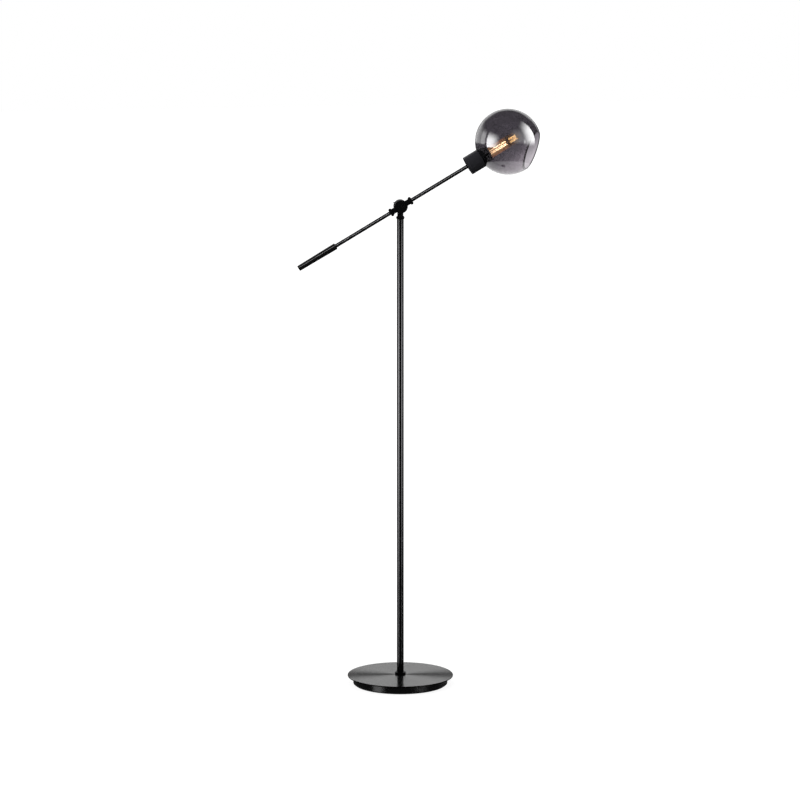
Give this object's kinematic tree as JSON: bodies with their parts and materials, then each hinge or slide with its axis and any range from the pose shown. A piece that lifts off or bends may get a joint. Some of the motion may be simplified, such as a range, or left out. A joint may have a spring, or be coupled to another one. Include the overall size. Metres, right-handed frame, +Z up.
{
  "type": "floor lamp",
  "caption": "Slim floor lamp with a round base, straight pole, counterweighted tilting arm and a smoked glass globe with an oblique open mouth.",
  "frame": {"origin": "centre of the base's underside, on the floor under the pole's axis", "axes": "+Z up along the pole, +X towards the lamp head along the arm, -Y the side on which the arm stands beside the pole"},
  "size_m": [0.638, 0.28, 1.5274],
  "materials": {
    "pad": "matt closed-cell foam",
    "base_enamel": "gloss black enamel on cast iron",
    "brushed_black": "turned and black-nickel plated, with fine circular brushing",
    "black_chrome": "polished black nickel",
    "arm_chrome": "satin black nickel",
    "gloss_black": "gloss black paint",
    "black_metal": "satin-gloss black paint",
    "satin_black": "satin black paint",
    "holder_black": "black thermoset",
    "black_plastic": "moulded black",
    "zinc": "zinc plated steel",
    "brass": "drawn brass",
    "bulb_brass": "rolled brass",
    "ceramic": "glazed white steatite",
    "bulb_insulator": "black vitrite",
    "smoked_glass": "clear smoked grey, blown",
    "amber_glass": "clear amber",
    "clear_glass": "clear",
    "filament": "glowing warm filament",
    "filament_crown": "glowing golden filament",
    "gold_wire": "gold-coloured wire"
  },
  "bodies": {
    "root": {"floor_pad": "pad", "base_weight": "base_enamel", "cord_gland": "black_plastic", "base_plate": "brushed_black", "base_nipple": "zinc", "nipple_washer": "zinc", "nipple_nut": "zinc", "base_collar": "black_chrome", "lower_pole": "black_chrome", "upper_pole": "black_chrome", "pole_bushes": "zinc", "pole_joiner": "zinc", "swivel_seat": "black_metal", "swivel_screw": "zinc"},
    "swivel": {"swivel_washer": "black_plastic", "knuckle_stem": "black_metal", "pivot_bolt": "black_metal", "bolt_washer": "zinc", "friction_disc": "black_plastic", "stop_pin": "zinc", "spring_washer": "zinc"},
    "wing": {"wing_nut": "black_metal"},
    "arm": {"arm_hub": "black_metal", "pivot_cap": "black_metal", "lamp_side_bead": "black_metal", "weight_side_bead": "black_metal", "lamp_tube": "arm_chrome", "counter_tube": "arm_chrome", "counterweight": "gloss_black", "shade_cup": "satin_black", "cup_nut": "zinc", "holder_cap": "holder_black", "holder_screw": "zinc", "holder_body": "holder_black", "holder_insert": "ceramic", "screw_shell": "brass", "centre_contact": "brass", "shade_ring": "holder_black", "glass_globe": "smoked_glass", "bulb_contact": "brass", "bulb_insulator": "bulb_insulator", "bulb_cap": "bulb_brass", "bulb_envelope": "amber_glass", "bulb_stem": "clear_glass", "lower_filaments": "filament", "upper_filaments": "filament_crown", "filament_spiders": "gold_wire"}
  },
  "joints": [
    {"name": "head_swivel", "type": "hinge", "parent": "root", "child": "swivel", "pos_m": [0, 0, 1.247], "axis": [0, 0, 1], "range_deg": [-155, 155]},
    {"name": "arm_tilt", "type": "hinge", "parent": "swivel", "child": "arm", "pos_m": [0, -0.01, 1.2771], "axis": [0, -1, 0], "range_deg": [-75, 14.8]},
    {"name": "wing_turn", "type": "hinge", "parent": "swivel", "child": "wing", "pos_m": [0, 0.012, 1.2771], "axis": [0, 1, 0], "continuous": true}
  ]
}
